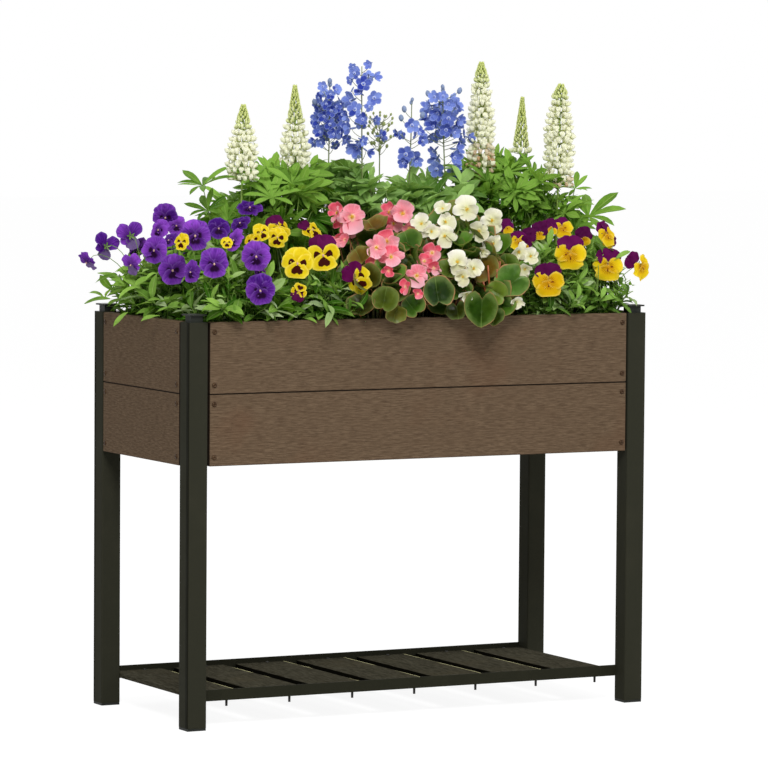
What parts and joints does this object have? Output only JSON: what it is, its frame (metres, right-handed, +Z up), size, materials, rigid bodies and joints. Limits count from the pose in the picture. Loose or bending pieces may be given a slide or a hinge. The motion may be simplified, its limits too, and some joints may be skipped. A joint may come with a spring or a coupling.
{
  "type": "planted raised bed",
  "caption": "Composite-plank planter box on steel legs with a slatted shelf, planted with lupins, delphiniums, pansies, begonias and violas.",
  "frame": {"origin": "on the floor, in the middle of the planted bed's box", "axes": "+Z up; +X to the right along the front; +Y from the front to the back"},
  "size_m": [1.22, 0.58, 1.33],
  "materials": {
    "frame_paint": "satin",
    "cap_plastic": "satin",
    "plank_composite": "matte",
    "slat_composite": "matte",
    "liner_film": "satin",
    "soil": "matte",
    "screw_bronze": "satin",
    "screw_steel": "satin",
    "lupin_leaf": "matte",
    "lupin_flower": "matte",
    "delphinium_leaf": "matte",
    "delphinium_flower": "matte",
    "pansy_leaf": "matte",
    "violet_petal": "matte",
    "yellow_petal": "matte",
    "begonia_leaf": "satin",
    "pink_petal": "matte",
    "white_petal": "matte",
    "viola_leaf": "matte",
    "golden_petal": "matte"
  },
  "bodies": {
    "root": {"leg_front_left": "frame_paint", "leg_front_right": "frame_paint", "leg_back_left": "frame_paint", "leg_back_right": "frame_paint", "leg_cap_front_left": "cap_plastic", "leg_cap_front_right": "cap_plastic", "leg_cap_back_left": "cap_plastic", "leg_cap_back_right": "cap_plastic", "foot_plug_front_left": "cap_plastic", "foot_plug_front_right": "cap_plastic", "foot_plug_back_left": "cap_plastic", "foot_plug_back_right": "cap_plastic", "plank_front_upper": "plank_composite", "plank_front_lower": "plank_composite", "plank_back_upper": "plank_composite", "plank_back_lower": "plank_composite", "plank_left_upper": "plank_composite", "plank_left_lower": "plank_composite", "plank_right_upper": "plank_composite", "plank_right_lower": "plank_composite", "floor_rail_front": "frame_paint", "floor_rail_back": "frame_paint", "floor_panel": "slat_composite", "liner": "liner_film", "soil": "soil", "shelf_rail_front": "frame_paint", "shelf_rail_back": "frame_paint", "shelf_slat_1": "slat_composite", "shelf_slat_2": "slat_composite", "shelf_slat_3": "slat_composite", "shelf_slat_4": "slat_composite", "shelf_slat_5": "slat_composite", "shelf_slat_6": "slat_composite", "shelf_slat_7": "slat_composite", "lupin_spike_1": "lupin_flower", "lupin_spike_2": "lupin_flower", "lupin_spike_3": "lupin_flower", "lupin_spike_4": "lupin_flower", "lupin_spike_5": "lupin_flower", "lupin_leaves_left": "lupin_leaf", "lupin_leaves_right": "lupin_leaf", "delphinium_spike_1": "delphinium_flower", "delphinium_spike_2": "delphinium_flower", "delphinium_spike_3": "delphinium_flower", "delphinium_spike_4": "delphinium_flower", "delphinium_spike_5": "delphinium_flower", "delphinium_leaves": "delphinium_leaf", "pansy_violet_left": "pansy_leaf", "pansy_violet_front": "pansy_leaf", "pansy_yellow_front": "pansy_leaf", "begonia_pink_front": "begonia_leaf", "begonia_white_front": "begonia_leaf", "viola_gold_front": "viola_leaf", "viola_gold_right": "viola_leaf", "pansy_violet_back": "pansy_leaf", "begonia_white_back": "begonia_leaf", "viola_gold_back": "viola_leaf"}
  },
  "joints": []
}
